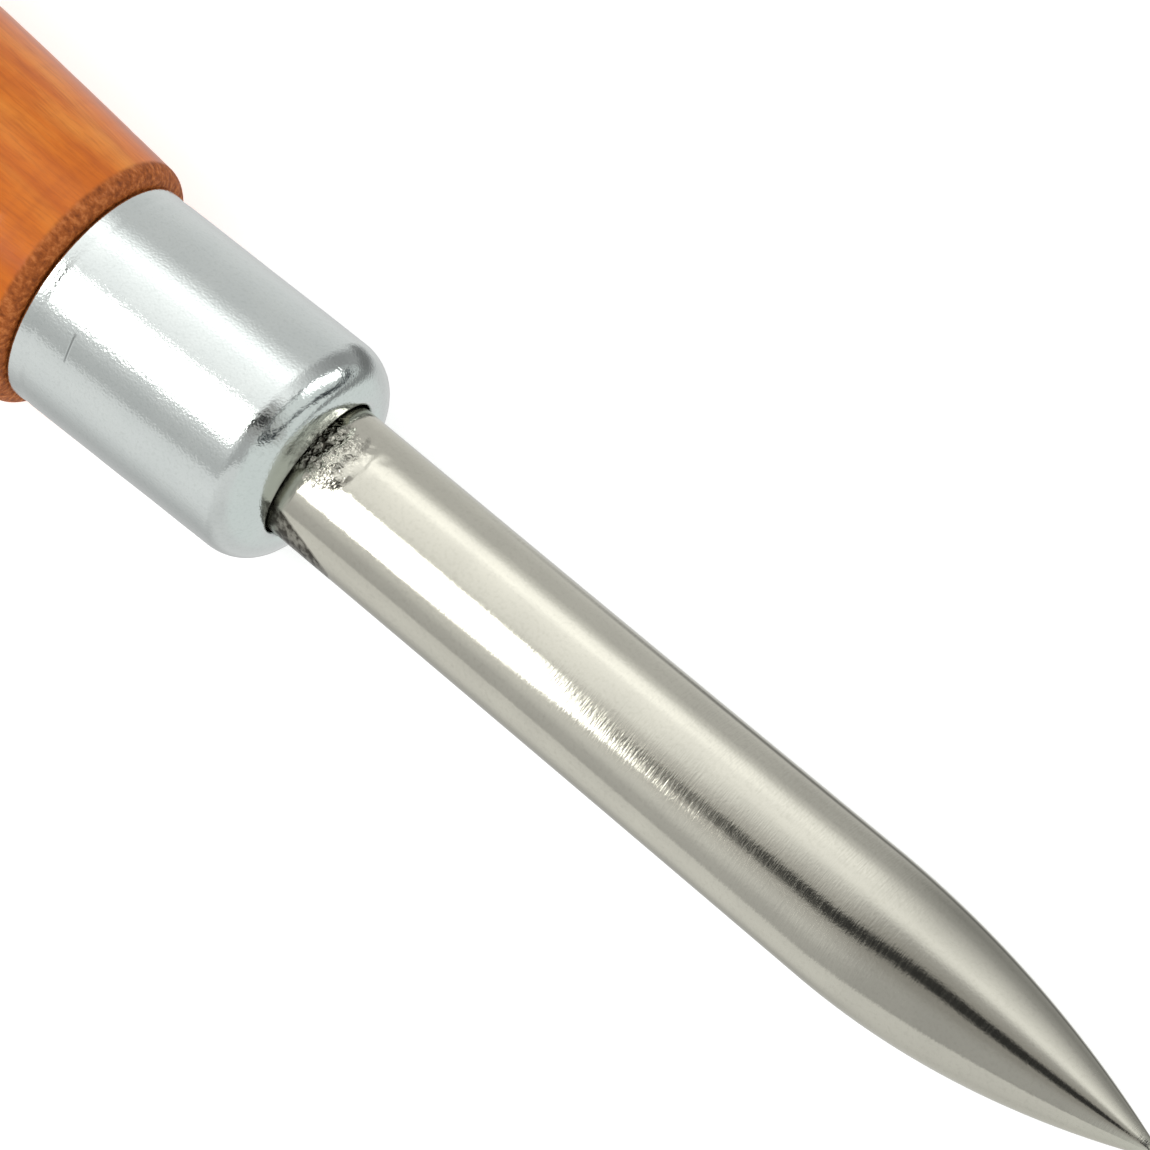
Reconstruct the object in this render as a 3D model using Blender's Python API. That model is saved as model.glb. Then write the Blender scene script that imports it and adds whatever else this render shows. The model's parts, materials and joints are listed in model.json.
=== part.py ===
"""Spike awl for leather: a plated steel blade in a turned wooden handle with a drawn steel ferrule.

Units are metres and +Z is up. Each piece is built along the tool's own axis, with x = 0 at the
ferrule's rear rim and the point towards +x. The tool_axis empty then lays the tool on a bench:
on its side, broad face of the blade up, with the origin under the middle of its box.
"""

import math

import bmesh
import bpy
from mathutils import Matrix, Vector

# Fits
FIT_GAP = 0.0003  # left between neighbouring pieces, on the radius or along the axis

# Blade, a forging that runs from its point back to a tang inside the handle
BLADE_LENGTH = 0.0561  # from the ferrule's front to the tip
BLADE_WIDTH = 0.0080  # at its widest, just behind the point
BLADE_BASE_WIDTH = 0.0077  # where it leaves the ferrule
BLADE_THICKNESS = 0.0054
SHANK_SWELL = 1.5  # power of the slight widening from the ferrule to the point
POINT_LENGTH = 0.0198  # over which the width closes to the tip
THINNED_LENGTH = 0.0400  # over which the thickness is ground down towards the tip
THINNING_ONSET = 1.5  # power by which the grinding sets in; 1 would start it with a crease
THINNING = 0.35  # share of the thickness that grinding takes off at the tip
THICKNESS_CLOSING = 0.65  # power by which the thickness follows the width to the tip
TIP_RADIUS = 0.00035
TIP_SLOPE = 22  # degrees between the axis and the outline where it meets the ball of the tip
BLADE_LEAN = 0.0287  # sideways run of the blade for each unit of its length
TIP_RETURN = 0.0006  # how far the point curves back from that lean
BLADE_SEAT = 0.0030  # full section inside the ferrule, down to the tang's shoulder
TANG_LENGTH = 0.0320
TANG_WIDTH = 0.0048
TANG_THICKNESS = 0.0040
TANG_END_SHARE = 0.5  # size of the tang's end against its root
TANG_POINT = 0.0015  # length of the blunt pyramid at the tang's end
TANG_SQUARENESS = 5.0  # power of the tang's rounded square section; 2 is an ellipse

# Ferrule, a cup drawn from sheet, with its nose turned in around the blade
FERRULE_RADIUS = 0.00635
FERRULE_LENGTH = 0.0155
FERRULE_WALL = 0.0008
NOSE_LENGTH = 0.0023  # of the rounded corner, along the axis
LIP_RADIUS = 0.00045  # of the lip that turns back into the hole
RIM_ROUNDING = 0.0002

# Handle, turned with a tenon for the ferrule and a tapered bore for the tang
GRIP_LENGTH = 0.0700
SHOULDER_STEP = 0.0009  # how far the shoulder stands out past the ferrule, all of it chamfered
BELLY_RADIUS = 0.0100
BELLY_FROM_SHOULDER = 0.0480
GRIP_SWELL = 1.8  # power of the curve from the shoulder to the belly
BUTT_FLAT_RADIUS = 0.0040
BUTT_ROUNDING = 0.0006
TENON_CHAMFER = 0.0004
BORE_SPARE = 0.0010  # bore left empty past the tang's end

# Densities, which set where the tool balances when it lies down
WOOD_DENSITY = 700.0
STEEL_DENSITY = 7850.0

# Smoothness of the solids
TURNED_SIDES = 32
BLADE_SIDES = 36
NOSE_STEPS = 8
LIP_STEPS = 6
GRIP_STEPS = 12
BUTT_STEPS = 10
SHANK_STEPS = 9
POINT_STEPS = 14
BALL_STEPS = 4

# Places along the axis, and sizes that one piece takes from another
NOSE_X = FERRULE_LENGTH  # the ferrule's front, where the blade shows
TANG_ROOT_X = NOSE_X - BLADE_SEAT
TANG_END_X = TANG_ROOT_X - TANG_LENGTH
TENON_END_X = TANG_ROOT_X - FIT_GAP
SHOULDER_X = -FIT_GAP
SHANK_LENGTH = BLADE_LENGTH - POINT_LENGTH  # of the blade in front of the ferrule, up to its widest
SHOULDER_RADIUS = FERRULE_RADIUS + SHOULDER_STEP
HOLE_RADIUS = BLADE_BASE_WIDTH / 2 + FIT_GAP


def arc(centre, radii, start, end, steps):
    """Points on an elliptical arc in the (x, r) plane, angles in degrees from +x."""
    points = []
    for step in range(steps + 1):
        angle = math.radians(start + (end - start) * step / steps)
        points.append((centre[0] + radii[0] * math.cos(angle), centre[1] + radii[1] * math.sin(angle)))
    return points


def blade_half_width(s):
    """Half the blade's width at s in front of the ferrule, before the ball of the tip."""
    if s < SHANK_LENGTH:
        swell = (s / SHANK_LENGTH) ** SHANK_SWELL
        return (BLADE_BASE_WIDTH + (BLADE_WIDTH - BLADE_BASE_WIDTH) * swell) / 2
    slope = math.radians(TIP_SLOPE)
    run_to_ball = POINT_LENGTH - TIP_RADIUS + TIP_RADIUS * math.sin(slope)
    ball_share = TIP_RADIUS * math.cos(slope) / (BLADE_WIDTH / 2)
    full_run = run_to_ball / math.sqrt(1.0 - ball_share)
    return BLADE_WIDTH / 2 * (1.0 - ((s - SHANK_LENGTH) / full_run) ** 2)


def blade_half_thickness(s):
    """Half the blade's thickness at s in front of the ferrule, before the ball of the tip."""
    ground = max(0.0, 1.0 - (BLADE_LENGTH - s) / THINNED_LENGTH) ** THINNING_ONSET
    closing = 1.0
    if s > SHANK_LENGTH:
        closing = blade_half_width(s) / (BLADE_WIDTH / 2)
    return BLADE_THICKNESS / 2 * (1.0 - THINNING * ground) * closing**THICKNESS_CLOSING


def blade_offset(s):
    """Sideways place of the blade's middle, which leans towards -y and comes back at the point."""
    point = max(0.0, 1.0 - (BLADE_LENGTH - s) / POINT_LENGTH)
    return -BLADE_LEAN * s + TIP_RETURN * point**2


def section(x, middle, half_width, half_thickness, power=2.0):
    """A ring of the blade: an ellipse, or a rounded square where the power is higher."""
    ring = []
    for side in range(BLADE_SIDES):
        angle = 2 * math.pi * side / BLADE_SIDES
        across, up = math.cos(angle), math.sin(angle)
        y = middle + half_width * math.copysign(abs(across) ** (2 / power), across)
        z = half_thickness * math.copysign(abs(up) ** (2 / power), up)
        ring.append(Vector((x, y, z)))
    return ring


def tang_sections():
    """The tang's rings from its end to its root, with a blunt pyramid on the end."""
    rings = []
    for x, share in (
        (TANG_END_X, TANG_END_SHARE / 2),
        (TANG_END_X + TANG_POINT, TANG_END_SHARE),
        (TANG_ROOT_X, 1.0),
    ):
        rings.append(section(x, 0.0, TANG_WIDTH / 2 * share, TANG_THICKNESS / 2 * share, TANG_SQUARENESS))
    return rings


def blade_sections():
    """All the blade's rings from the tang's end to the last one before the tip."""
    ball_centre = BLADE_LENGTH - TIP_RADIUS
    ball_start = ball_centre + TIP_RADIUS * math.sin(math.radians(TIP_SLOPE))
    stops = [SHANK_LENGTH * step / SHANK_STEPS for step in range(SHANK_STEPS)]
    point_step = (ball_start - SHANK_LENGTH) / POINT_STEPS
    stops += [SHANK_LENGTH + point_step * step for step in range(POINT_STEPS + 1)]

    rings = tang_sections()
    rings.append(section(TANG_ROOT_X, 0.0, BLADE_BASE_WIDTH / 2, BLADE_THICKNESS / 2))
    for s in stops:
        rings.append(section(NOSE_X + s, blade_offset(s), blade_half_width(s), blade_half_thickness(s)))

    flatness = blade_half_thickness(ball_start) / blade_half_width(ball_start)
    ball = arc((ball_centre, 0.0), (TIP_RADIUS, TIP_RADIUS), 90 - TIP_SLOPE, 0, BALL_STEPS)
    for s, radius in ball[1:-1]:
        rings.append(section(NOSE_X + s, blade_offset(s), radius, radius * flatness))
    return rings


def tang_reach(x):
    """How far the tang's corners stand from the axis at x."""
    share = TANG_END_SHARE + (1.0 - TANG_END_SHARE) * (x - TANG_END_X) / TANG_LENGTH
    return math.hypot(TANG_WIDTH, TANG_THICKNESS) / 2 * share


def handle_profile():
    """The handle's half section, from the middle of the butt round to the bottom of the bore."""
    grip_from = SHOULDER_X - SHOULDER_STEP
    belly_x = grip_from - BELLY_FROM_SHOULDER
    butt_x = SHOULDER_X - GRIP_LENGTH
    flat_share = (BUTT_FLAT_RADIUS + BUTT_ROUNDING) / BELLY_RADIUS
    dome_length = (belly_x - butt_x - BUTT_ROUNDING) / math.sqrt(1.0 - flat_share**2)
    dome_end = 90 + math.degrees(math.acos(flat_share))
    points = [(butt_x, 0.0), (butt_x, BUTT_FLAT_RADIUS)]
    points += arc((belly_x, 0.0), (dome_length, BELLY_RADIUS), dome_end, 90, BUTT_STEPS)

    for step in range(1, GRIP_STEPS + 1):
        from_belly = step / GRIP_STEPS
        swell = (BELLY_RADIUS - SHOULDER_RADIUS) * (1.0 - from_belly**GRIP_SWELL)
        points.append((belly_x + BELLY_FROM_SHOULDER * from_belly, SHOULDER_RADIUS + swell))
    points.append((SHOULDER_X, FERRULE_RADIUS))

    tenon_radius = FERRULE_RADIUS - FERRULE_WALL - FIT_GAP
    points.append((SHOULDER_X, tenon_radius))
    points.append((TENON_END_X - TENON_CHAMFER, tenon_radius))
    points.append((TENON_END_X, tenon_radius - TENON_CHAMFER))

    bore_end = TANG_END_X - BORE_SPARE
    bore_end_radius = tang_reach(bore_end) + FIT_GAP
    points.append((TENON_END_X, tang_reach(TENON_END_X) + FIT_GAP))
    points.append((bore_end, bore_end_radius))
    points.append((bore_end - bore_end_radius / 2, 0.0))  # the cone that the drill leaves
    return points


def ferrule_profile():
    """The ferrule's half section: up the outside, over the nose into the hole, and back inside."""
    lip = min(LIP_RADIUS, (FERRULE_RADIUS - HOLE_RADIUS) / 2)
    crest = HOLE_RADIUS + lip
    nose_from = NOSE_X - NOSE_LENGTH
    inner_radius = FERRULE_RADIUS - FERRULE_WALL
    inner_crest = min(crest, inner_radius)
    bend = max(lip - FERRULE_WALL, 0.0)
    points = [(0.0, inner_radius), (0.0, FERRULE_RADIUS - RIM_ROUNDING), (RIM_ROUNDING, FERRULE_RADIUS)]
    points += arc((nose_from, crest), (NOSE_LENGTH, FERRULE_RADIUS - crest), 90, 0, NOSE_STEPS)
    points += arc((NOSE_X - lip, crest), (lip, lip), 0, -90, LIP_STEPS)[1:]
    points.append((NOSE_X - lip, inner_crest - bend))
    inside = (NOSE_LENGTH - FERRULE_WALL, inner_radius - inner_crest)
    points += arc((nose_from, inner_crest), inside, 0, 90, LIP_STEPS)
    return points


def turn(name, profile, closed):
    """Spins a half section round the axis. Where it isn't closed, its two ends lie on the axis."""
    mesh = bmesh.new()
    rings = []
    for x, radius in profile:
        if radius == 0.0:
            rings.append([mesh.verts.new((x, 0.0, 0.0))] * TURNED_SIDES)
            continue
        ring = []
        for side in range(TURNED_SIDES):
            angle = 2 * math.pi * (side + 0.5) / TURNED_SIDES  # half a side puts a flat underneath
            ring.append(mesh.verts.new((x, radius * math.sin(angle), radius * math.cos(angle))))
        rings.append(ring)
    pairs = list(zip(rings, rings[1:]))
    if closed:
        pairs.append((rings[-1], rings[0]))
    for ring, following in pairs:
        for side in range(TURNED_SIDES):
            onward = (side + 1) % TURNED_SIDES
            corners = dict.fromkeys((ring[side], ring[onward], following[onward], following[side]))
            mesh.faces.new(list(corners))
    return finished(name, mesh)


def loft(name, rings, tip):
    """Skins a row of rings, closed by a flat end at the first and a tip after the last."""
    mesh = bmesh.new()
    corners = [[mesh.verts.new(point) for point in ring] for ring in rings]
    for ring, following in zip(corners, corners[1:]):
        for side in range(BLADE_SIDES):
            onward = (side + 1) % BLADE_SIDES
            mesh.faces.new((ring[side], ring[onward], following[onward], following[side]))
    mesh.faces.new(corners[0])
    apex = mesh.verts.new(tip)
    for side in range(BLADE_SIDES):
        mesh.faces.new((corners[-1][side], corners[-1][(side + 1) % BLADE_SIDES], apex))
    return finished(name, mesh)


def finished(name, mesh):
    """Turns a closed bmesh into a shaded object with its faces pointing out."""
    bmesh.ops.recalc_face_normals(mesh, faces=mesh.faces)
    data = bpy.data.meshes.new(name)
    mesh.to_mesh(data)
    mesh.free()
    data.shade_smooth()
    data.set_sharp_from_angle(angle=math.radians(35))
    piece = bpy.data.objects.new(name, data)
    bpy.context.scene.collection.objects.link(piece)
    return piece


def finish(piece, name, colour, roughness, metallic):
    """Gives a piece its Principled material."""
    material = bpy.data.materials.new(name)
    material.use_nodes = True
    shader = material.node_tree.nodes["Principled BSDF"]
    shader.inputs["Base Color"].default_value = (*colour, 1.0)
    shader.inputs["Roughness"].default_value = roughness
    shader.inputs["Metallic"].default_value = metallic
    piece.data.materials.append(material)


def volume_and_moment(piece):
    """A piece's volume, and its first moment along the tool's axis."""
    volume = moment = 0.0
    piece.data.calc_loop_triangles()
    for triangle in piece.data.loop_triangles:
        a, b, c = (piece.data.vertices[index].co for index in triangle.vertices)
        wedge = a.dot(b.cross(c)) / 6
        volume += wedge
        moment += wedge * (a.x + b.x + c.x) / 4
    return volume, moment


def balance_point(densities):
    """Where along its axis the tool balances."""
    mass = moment = 0.0
    for piece, density in densities:
        volume, first_moment = volume_and_moment(piece)
        mass += density * volume
        moment += density * first_moment
    return moment / mass


def resting_slope(pieces, balance):
    """Slope of the line under the tool, from behind its balance point to in front of it."""
    outline = sorted((vertex.co.x, -vertex.co.z) for piece in pieces for vertex in piece.data.vertices)
    hull = []
    for x, depth in outline:
        while len(hull) > 1:
            (x1, depth1), (x2, depth2) = hull[-2:]
            if (x2 - x1) * (depth - depth1) < (depth2 - depth1) * (x - x1):
                break
            hull.pop()
        hull.append((x, depth))
    for (x1, depth1), (x2, depth2) in zip(hull, hull[1:]):
        if x1 <= balance <= x2:
            return (depth2 - depth1) / (x2 - x1)
    return 0.0


def lay_down(pieces, balance):
    """Parents the pieces to an empty that lays the tool on its side, centred over the origin."""
    tool_axis = bpy.data.objects.new("tool_axis", None)
    bpy.context.scene.collection.objects.link(tool_axis)
    pitch = math.atan(-resting_slope(pieces, balance))
    turned = Matrix.Rotation(pitch, 3, "Y")
    corners = [turned @ vertex.co for piece in pieces for vertex in piece.data.vertices]
    low = Vector([min(corner[axis] for corner in corners) for axis in range(3)])
    high = Vector([max(corner[axis] for corner in corners) for axis in range(3)])
    tool_axis.rotation_euler = (0.0, pitch, 0.0)
    tool_axis.location = (-(low.x + high.x) / 2, -(low.y + high.y) / 2, -low.z)
    for piece in pieces:
        piece.parent = tool_axis


for leftover in list(bpy.data.objects):
    bpy.data.objects.remove(leftover)

handle = turn("handle", handle_profile(), closed=False)
finish(handle, "stained hardwood", (0.50, 0.17, 0.04), 0.35, 0.0)

ferrule = turn("ferrule", ferrule_profile(), closed=True)
finish(ferrule, "plated sheet steel", (0.62, 0.65, 0.69), 0.22, 1.0)

blade = loft("blade", blade_sections(), (NOSE_X + BLADE_LENGTH, blade_offset(BLADE_LENGTH), 0.0))
finish(blade, "nickel-plated steel", (0.66, 0.64, 0.60), 0.20, 1.0)

steel_and_wood = ((handle, WOOD_DENSITY), (ferrule, STEEL_DENSITY), (blade, STEEL_DENSITY))
lay_down((handle, ferrule, blade), balance_point(steel_and_wood))
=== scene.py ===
import json
import math

import bmesh
import bpy
from mathutils import Matrix, Vector, noise


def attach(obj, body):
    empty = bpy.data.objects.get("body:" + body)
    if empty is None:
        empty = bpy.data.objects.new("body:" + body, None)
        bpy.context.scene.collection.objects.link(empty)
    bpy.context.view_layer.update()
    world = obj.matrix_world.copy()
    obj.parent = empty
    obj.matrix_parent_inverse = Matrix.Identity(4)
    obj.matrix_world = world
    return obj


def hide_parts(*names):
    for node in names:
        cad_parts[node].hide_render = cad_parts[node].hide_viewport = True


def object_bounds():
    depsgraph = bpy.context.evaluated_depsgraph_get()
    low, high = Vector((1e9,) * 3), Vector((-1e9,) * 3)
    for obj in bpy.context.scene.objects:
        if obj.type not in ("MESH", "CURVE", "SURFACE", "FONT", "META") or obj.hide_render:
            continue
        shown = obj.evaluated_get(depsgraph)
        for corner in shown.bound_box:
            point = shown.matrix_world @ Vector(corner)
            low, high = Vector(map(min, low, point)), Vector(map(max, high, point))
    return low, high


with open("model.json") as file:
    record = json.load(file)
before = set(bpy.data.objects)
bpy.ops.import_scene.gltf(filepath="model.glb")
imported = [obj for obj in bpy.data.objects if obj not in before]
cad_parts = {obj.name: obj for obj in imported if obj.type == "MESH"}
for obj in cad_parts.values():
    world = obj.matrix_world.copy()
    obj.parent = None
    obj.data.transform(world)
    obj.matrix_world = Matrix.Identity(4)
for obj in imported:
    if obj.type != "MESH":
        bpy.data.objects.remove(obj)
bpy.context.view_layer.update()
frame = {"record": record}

# The tool's own axis, which the flat on the end of the handle faces along. Each piece is made on
# it, with x = 0 at the ferrule's rear rim and the point towards +x, and is laid down with it.
butt = next(mount for mount in frame["record"]["mounts"] if mount["name"] == "butt")
RIM_FROM_BUTT = 0.0703
along = -Vector(butt["axis"]).normalized()
sideways = Vector((0, 1, 0))
upwards = along.cross(sideways)
rim_centre = Vector(butt["pos_m"]) + along * RIM_FROM_BUTT
tool_axis = Matrix.Translation(rim_centre) @ Matrix((along, sideways, upwards)).transposed().to_4x4()


# Handle. A fine-grained hardwood such as birch, turned between centres with a tenon for the
# ferrule and a bore for the tang, stained orange-brown and dipped in varnish. The rounded shoulder
# shows end grain, which drinks more stain and so stays darker and duller than the grip.
FIT_GAP = 0.0003
NOSE_X = 0.0155  # the ferrule's front
FERRULE_RADIUS = 0.00635
BLADE_SEAT = 0.0030  # how far the blade's full section runs on inside the ferrule
TANG_LENGTH = 0.0320
GRIP_LENGTH = RIM_FROM_BUTT - FIT_GAP
SHOULDER_RADIUS = 0.00725
SHOULDER_ROUNDING = 0.0009
BELLY_RADIUS = 0.0100
BELLY_FROM_SHOULDER = 0.0480
GRIP_SWELL = 1.8
BUTT_FLAT_RADIUS = 0.0040
BUTT_ROUNDING = 0.0006
TENON_RADIUS = 0.00525
TENON_CHAMFER = 0.0004
BORE_RADII = (0.0034, 0.0018)
BORE_SPARE = 0.0010
HANDLE_SIDES = 192
SHOULDER_X = -0.0001


def arc(centre, radii, start, end, steps):
    """Points on an elliptical arc in the (x, r) plane, angles in degrees from +x."""
    points = []
    for step in range(steps + 1):
        angle = math.radians(start + (end - start) * step / steps)
        points.append((centre[0] + radii[0] * math.cos(angle), centre[1] + radii[1] * math.sin(angle)))
    return points


def handle_profile():
    """The handle's half section, from the middle of the butt round to the bottom of the bore."""
    grip_from = SHOULDER_X - SHOULDER_ROUNDING
    belly_x = grip_from - BELLY_FROM_SHOULDER
    butt_x = -FIT_GAP - GRIP_LENGTH
    flat_share = (BUTT_FLAT_RADIUS + BUTT_ROUNDING) / BELLY_RADIUS
    dome_length = (belly_x - butt_x - BUTT_ROUNDING) / math.sqrt(1.0 - flat_share**2)
    dome_end = 90 + math.degrees(math.acos(flat_share))
    points = [(butt_x, 0.0)]
    points += [(butt_x, BUTT_FLAT_RADIUS * step / 6) for step in range(1, 6)]
    corner = (butt_x + BUTT_ROUNDING, BUTT_FLAT_RADIUS)
    points += arc(corner, (BUTT_ROUNDING, BUTT_ROUNDING), 180, 128, 5)
    points += arc((belly_x, 0.0), (dome_length, BELLY_RADIUS), dome_end, 90, 60)[1:]
    for step in range(1, 161):
        from_belly = step / 160
        swell = (BELLY_RADIUS - SHOULDER_RADIUS) * (1.0 - from_belly**GRIP_SWELL)
        points.append((belly_x + BELLY_FROM_SHOULDER * from_belly, SHOULDER_RADIUS + swell))
    rounding = (SHOULDER_ROUNDING, SHOULDER_RADIUS - FERRULE_RADIUS - 0.00005)
    points += arc((grip_from, FERRULE_RADIUS + 0.00005), rounding, 90, 0, 12)[1:]

    tenon_end = NOSE_X - BLADE_SEAT - FIT_GAP
    bore_end = NOSE_X - BLADE_SEAT - TANG_LENGTH - BORE_SPARE
    points.append((SHOULDER_X, TENON_RADIUS))
    points.append((tenon_end - TENON_CHAMFER, TENON_RADIUS))
    points.append((tenon_end, TENON_RADIUS - TENON_CHAMFER))
    points.append((tenon_end, BORE_RADII[0]))
    points.append((bore_end, BORE_RADII[1]))
    points.append((bore_end - BORE_RADII[1] / 2, 0.0))
    return points


def turning_marks(x, radius, angle):
    """The ring that the parting tool left behind the shoulder, and the lathe's faint chatter."""
    ring = -0.000035 * math.exp(-(((x + 0.0036) / 0.00014) ** 2))
    chatter = 0.000008 * noise.noise(Vector((x * 900, math.cos(angle) * 0.4, math.sin(angle) * 0.4)))
    return ring + chatter if x < SHOULDER_X - SHOULDER_ROUNDING / 2 else 0.0


def laid_down(name, mesh, sharp_degrees):
    """Turns a closed mesh made on the tool's axis into a smooth piece that lies with the tool."""
    bmesh.ops.recalc_face_normals(mesh, faces=mesh.faces)
    mesh.transform(tool_axis)
    data = bpy.data.meshes.new(name)
    mesh.to_mesh(data)
    mesh.free()
    data.shade_smooth()
    data.set_sharp_from_angle(angle=math.radians(sharp_degrees))
    piece = bpy.data.objects.new(name, data)
    bpy.context.scene.collection.objects.link(piece)
    return piece


def lathe(name, profile, sides, closed, relief):
    """Spins a half section round the axis. Where it isn't closed, its two ends lie on the axis."""
    mesh = bmesh.new()
    rings = []
    for x, radius in profile:
        if radius == 0.0:
            rings.append([mesh.verts.new((x, 0.0, 0.0))] * sides)
            continue
        ring = []
        for side in range(sides):
            angle = 2 * math.pi * side / sides
            out = radius + relief(x, radius, angle)
            ring.append(mesh.verts.new((x, out * math.sin(angle), out * math.cos(angle))))
        rings.append(ring)
    pairs = list(zip(rings, rings[1:]))
    if closed:
        pairs.append((rings[-1], rings[0]))
    for ring, following in pairs:
        for side in range(sides):
            onward = (side + 1) % sides
            corners = dict.fromkeys((ring[side], ring[onward], following[onward], following[side]))
            mesh.faces.new(list(corners))
    return laid_down(name, mesh, 40)


def linear(colour, alpha=1.0):
    """An sRGB hex colour as linear light."""
    channels = [int(colour[place : place + 2], 16) / 255 for place in (1, 3, 5)]
    return (*(c / 12.92 if c <= 0.04045 else ((c + 0.055) / 1.055) ** 2.4 for c in channels), alpha)


def add(tree, kind, sockets, take=0, stops=(), **settings):
    """Adds a node, sets or links its sockets and gives the output to take on from it."""
    made = tree.nodes.new("ShaderNode" + kind)
    for name, value in settings.items():
        setattr(made, name, value)
    for name, value in sockets.items():
        if isinstance(value, bpy.types.NodeSocket):
            tree.links.new(value, made.inputs[name])
        else:
            made.inputs[name].default_value = value
    for number, (position, colour) in enumerate(stops):
        elements = made.color_ramp.elements
        element = elements[number] if number < 2 else elements.new(1.0)
        element.position = position
        element.color = colour
    return made.outputs[take]


def new_material(name):
    """An empty material: its tree and its output's surface socket."""
    material = bpy.data.materials.new(name)
    material.use_nodes = True
    material.node_tree.nodes.clear()
    output = material.node_tree.nodes.new("ShaderNodeOutputMaterial")
    return material, material.node_tree, output.inputs["Surface"]


def on_the_tool(tree):
    """Places on the tool's own axis, so that patterns run along it and not along the table."""
    here = add(tree, "TexCoord", {}, "Object")
    pose = {"Vector": here, "Location": tool_axis.translation, "Rotation": tool_axis.to_euler()}
    return add(tree, "Mapping", pose, vector_type="TEXTURE")


def per_metre(millimetres):
    """How many times a pattern of this size repeats in a metre."""
    return 1000 / millimetres


def stained_varnished_birch():
    """Birch under orange-brown stain and gloss varnish: cloudy, with fine dark vessels along it."""
    material, tree, surface = new_material("stained varnished birch")
    place = on_the_tool(tree)
    x = add(tree, "SeparateXYZ", {"Vector": place}, "X")

    # The stain took unevenly, in streaks about 3 mm across and 18 mm long that follow the grain.
    streak_size = (per_metre(18), per_metre(2.6), per_metre(2.6))
    clouds_at = add(tree, "Mapping", {"Vector": place, "Scale": streak_size})
    clouds = add(tree, "TexNoise", {"Vector": clouds_at, "Scale": 1.0, "Detail": 5.0, "Distortion": 0.35})
    stains = [(0.30, linear("#b8540c")), (0.48, linear("#d36f16")), (0.66, linear("#e28a30"))]
    stained = add(tree, "ValToRGB", {"Fac": clouds}, stops=stains)

    # Growth rings 1.7 mm apart round a pith outside the handle.
    pith = {"Vector": place, "Location": (0, 0.021, -0.012), "Scale": (0.06, 1, 1)}
    reach = add(tree, "VectorMath", {0: add(tree, "Mapping", pith)}, "Value", operation="LENGTH")
    wander = add(tree, "TexNoise", {"Vector": place, "Scale": per_metre(14), "Detail": 2.0})
    bent = add(tree, "Math", {0: wander, 1: 0.0022, 2: reach}, operation="MULTIPLY_ADD")
    turns = add(tree, "Math", {0: bent, 1: 2 * math.pi * per_metre(1.7)}, operation="MULTIPLY")
    late_wood = add(tree, "Math", {0: turns}, operation="SINE")
    late_share = add(tree, "MapRange", {"Value": late_wood, "From Min": 0.0, "To Max": 0.22})
    ringed_parts = {"Factor": late_share, "A": stained, "B": linear("#a84a0f")}
    ringed = add(tree, "Mix", ringed_parts, "Result", data_type="RGBA")

    # Fibres and vessels: 0.14 mm wide streaks, 2 mm long, drawn a little coarser than real birch.
    fibre_size = (per_metre(2), per_metre(0.14), per_metre(0.14))
    fibres_at = add(tree, "Mapping", {"Vector": place, "Scale": fibre_size})
    fibres = add(tree, "TexNoise", {"Vector": fibres_at, "Scale": 1.0, "Detail": 3.0})
    streaks = add(tree, "MapRange", {"Value": fibres, "From Min": 0.45, "From Max": 0.75, "To Max": 0.35})
    fibred_parts = {"Factor": streaks, "A": ringed, "B": linear("#98420b")}
    fibred = add(tree, "Mix", fibred_parts, "Result", data_type="RGBA")

    # The gouge left faint rings round the handle, 0.9 mm apart, which the stain darkened.
    gouge_size = (per_metre(0.9), per_metre(14), per_metre(14))
    gouge_at = add(tree, "Mapping", {"Vector": place, "Scale": gouge_size})
    gouge = add(tree, "TexNoise", {"Vector": gouge_at, "Scale": 1.0, "Detail": 2.0})
    gouge_share = add(tree, "MapRange", {"Value": gouge, "From Min": 0.50, "From Max": 0.75, "To Max": 0.18})
    grip_parts = {"Factor": gouge_share, "A": fibred, "B": linear("#a64c12")}
    grip = add(tree, "Mix", grip_parts, "Result", data_type="RGBA")

    # End grain on the rounded shoulder and on the butt, where the cut vessels show as dark grains.
    pore_size = (per_metre(0.6), per_metre(0.3), per_metre(0.3))
    pores_at = add(tree, "Mapping", {"Vector": place, "Scale": pore_size})
    pores = add(tree, "TexNoise", {"Vector": pores_at, "Scale": 1.0, "Detail": 4.0, "Roughness": 0.65})
    grains = [(0.34, linear("#7b3c12")), (0.50, linear("#9f531f")), (0.66, linear("#bf7038"))]
    end_grain = add(tree, "ValToRGB", {"Fac": pores}, stops=grains)
    front = {"Value": x, "From Min": -0.00115, "From Max": -0.00080}
    shoulder = add(tree, "MapRange", front, interpolation_type="SMOOTHSTEP")
    back = {"Value": x, "From Min": -0.0672, "From Max": -0.0700}
    domed_end = add(tree, "MapRange", back, interpolation_type="SMOOTHSTEP")
    ends = add(tree, "Math", {0: shoulder, 1: domed_end}, operation="ADD", use_clamp=True)
    outside_parts = {"Factor": ends, "A": grip, "B": end_grain}
    outside = add(tree, "Mix", outside_parts, "Result", data_type="RGBA")

    # Painted shade: the bare end of the tenon inside the ferrule is painted dark, for the shade there.
    inside = add(tree, "MapRange", {"Value": x, "From Min": 0.0115, "From Max": 0.0120})
    cavity_shade_parts = {"Factor": inside, "A": outside, "B": linear("#7d6650")}
    colour = add(tree, "Mix", cavity_shade_parts, "Result", data_type="RGBA")

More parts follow.
